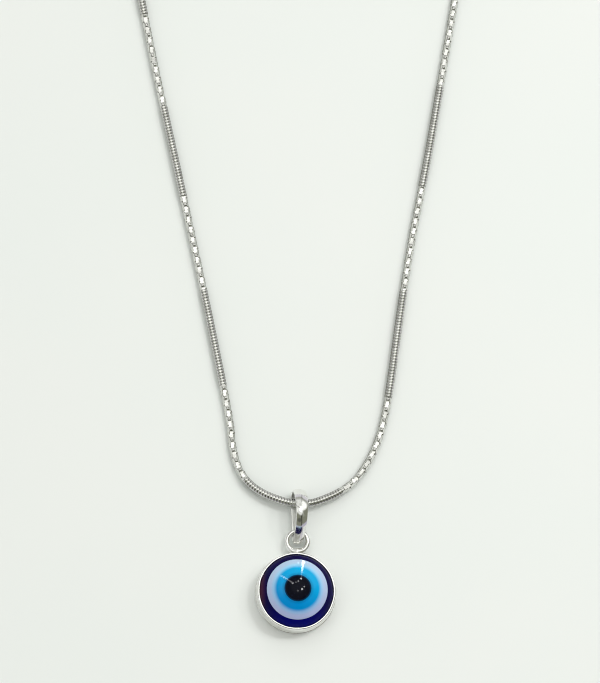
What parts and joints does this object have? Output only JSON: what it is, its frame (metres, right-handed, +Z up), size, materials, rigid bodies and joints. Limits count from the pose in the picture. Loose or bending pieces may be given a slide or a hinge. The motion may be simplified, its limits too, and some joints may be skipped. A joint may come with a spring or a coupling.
{
  "type": "evil eye pendant on a snake chain necklace",
  "caption": "Round silver-set evil eye cabochon on a tapered bail, strung on a closed snake chain with a claw clasp, lying flat.",
  "frame": {"origin": "centre of the setting's flat back, which rests on the surface", "axes": "+Y from the pendant towards the clasp, +Z up through the eye's dome, +X to the right as the eye is looked at"},
  "size_m": [0.0742, 0.2164, 0.0054],
  "materials": {
    "chain_silver": "ribbed and diamond-cut silver",
    "polished_silver": "hand-polished silver",
    "navy_glass": "glossy opaque dark blue",
    "white_glass": "glossy opaque lavender white",
    "blue_glass": "glossy opaque sky blue",
    "black_glass": "glossy opaque near-black"
  },
  "bodies": {
    "root": {"chain": "chain_silver", "bail": "polished_silver", "bezel_setting": "polished_silver", "eye_glass": "navy_glass", "eye_white": "white_glass", "eye_iris": "blue_glass", "eye_pupil": "black_glass", "end_cap_left": "polished_silver", "end_cap_right": "polished_silver", "catch_ring": "polished_silver", "tail_ring": "polished_silver", "clasp": "polished_silver"}
  },
  "joints": []
}
